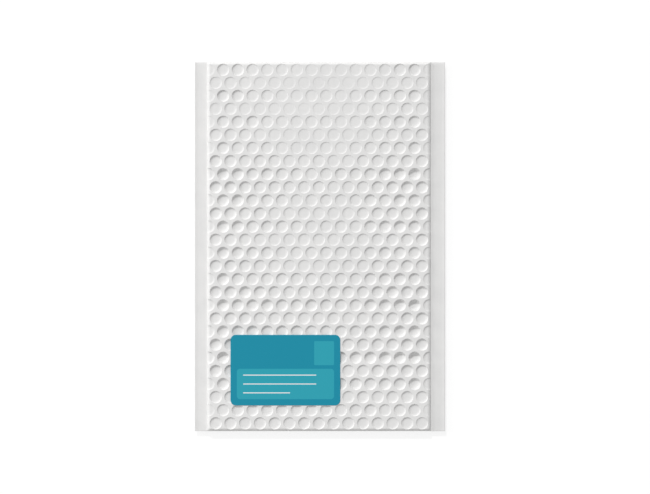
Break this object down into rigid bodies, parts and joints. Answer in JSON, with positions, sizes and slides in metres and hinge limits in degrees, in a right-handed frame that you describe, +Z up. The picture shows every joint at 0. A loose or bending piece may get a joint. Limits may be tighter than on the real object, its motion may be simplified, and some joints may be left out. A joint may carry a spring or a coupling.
{
  "type": "bubble-lined courier bag",
  "caption": "Closed padded mailing bag of white film with flat heat-sealed sides, rows of shallow round dimples and a blank teal address label, for posting small goods.",
  "frame": {"origin": "under the middle of the bag's outline, on the surface that it lies on", "axes": "+Z up, out of the front that carries the label; +Y from the bottom fold to the top fold; +X across the bag, to the right as the front is seen"},
  "size_m": [0.24, 0.354, 0.0083],
  "materials": {
    "white_film": "satin white polyethylene film",
    "label_print": "smooth teal printed label with a soft gloss"
  },
  "bodies": {
    "root": {"bag": "white_film", "label": "label_print"}
  },
  "joints": []
}
